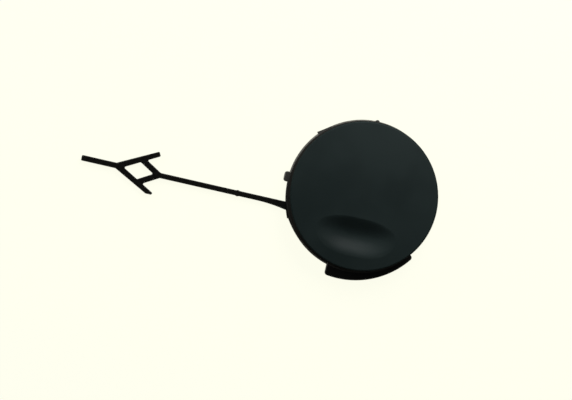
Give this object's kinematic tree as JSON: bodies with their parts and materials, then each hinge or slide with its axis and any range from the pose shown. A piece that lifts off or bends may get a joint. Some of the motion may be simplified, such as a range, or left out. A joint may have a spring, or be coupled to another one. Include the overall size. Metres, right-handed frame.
{
  "type": "tow hook cover",
  "caption": "Round snap-in cover for the towing eye opening of a car bumper, with a thumb dimple, a hook lip and a retaining strap that ends in a barbed anchor.",
  "frame": {"origin": "axis of the round face, on the plane of the undersides of flange, lip and strap", "axes": "+Z out of the face, strap along -X, thumb dimple on the -Y side"},
  "size_m": [0.1671, 0.0767, 0.0093],
  "materials": {
    "moulding": "satin moulded, dark slate"
  },
  "bodies": {
    "root": {"tow_hook_cover": "moulding"}
  },
  "joints": []
}
